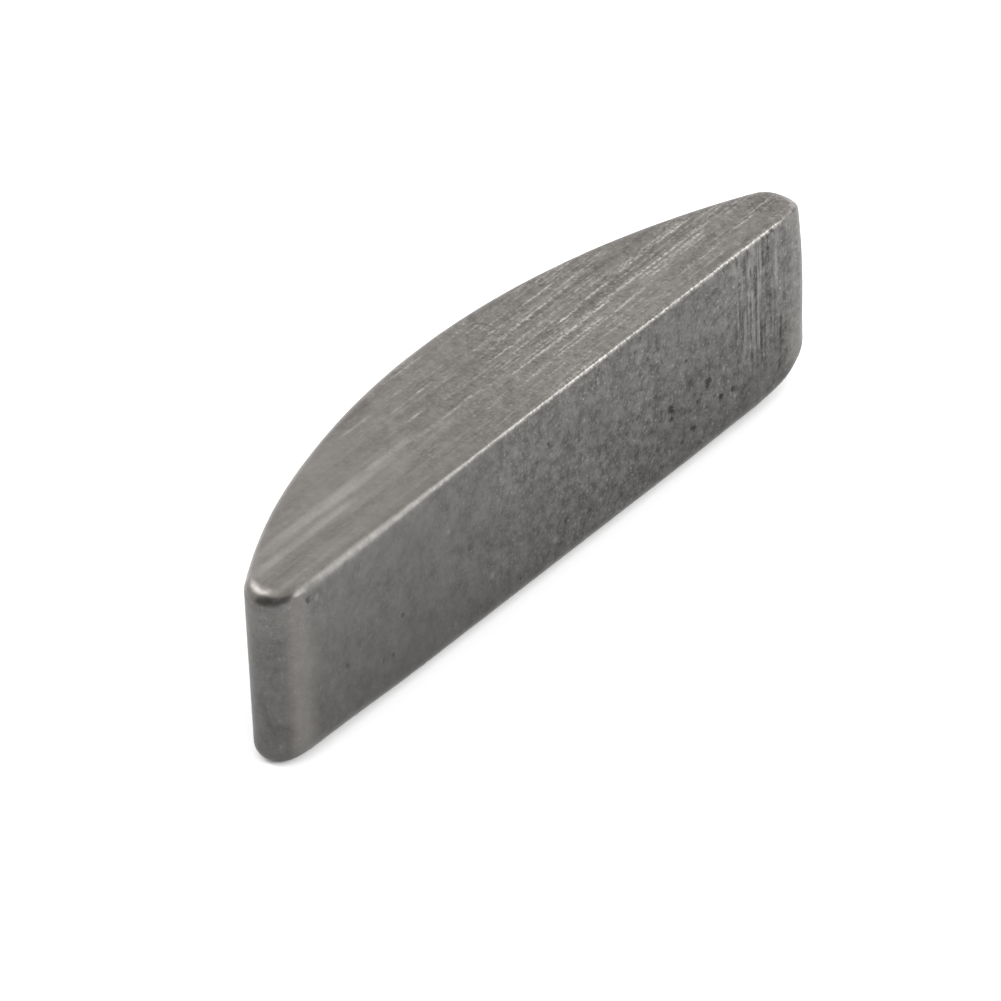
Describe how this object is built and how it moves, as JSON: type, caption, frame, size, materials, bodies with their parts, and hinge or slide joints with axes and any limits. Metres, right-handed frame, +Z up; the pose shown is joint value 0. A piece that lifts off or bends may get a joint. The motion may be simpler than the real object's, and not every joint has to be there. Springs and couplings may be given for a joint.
{
  "type": "woodruff key",
  "caption": "Half-moon steel key: its curved seat lies in a round keyseat in a shaft, and its straight upper edge drives a hub.",
  "frame": {"origin": "under the middle of the key's box, on the side face that it lies on", "axes": "+X along the flat, towards the tip with the rolled underside; +Y from the flat to the crown of the seat; +Z up through the thickness"},
  "size_m": [0.0124, 0.0024, 0.003],
  "materials": {
    "tumbled_steel": "blanked carbon steel, side faces ground with fine streaks along the length, edges tumbled"
  },
  "bodies": {
    "root": {"woodruff_key": "tumbled_steel"}
  },
  "joints": []
}
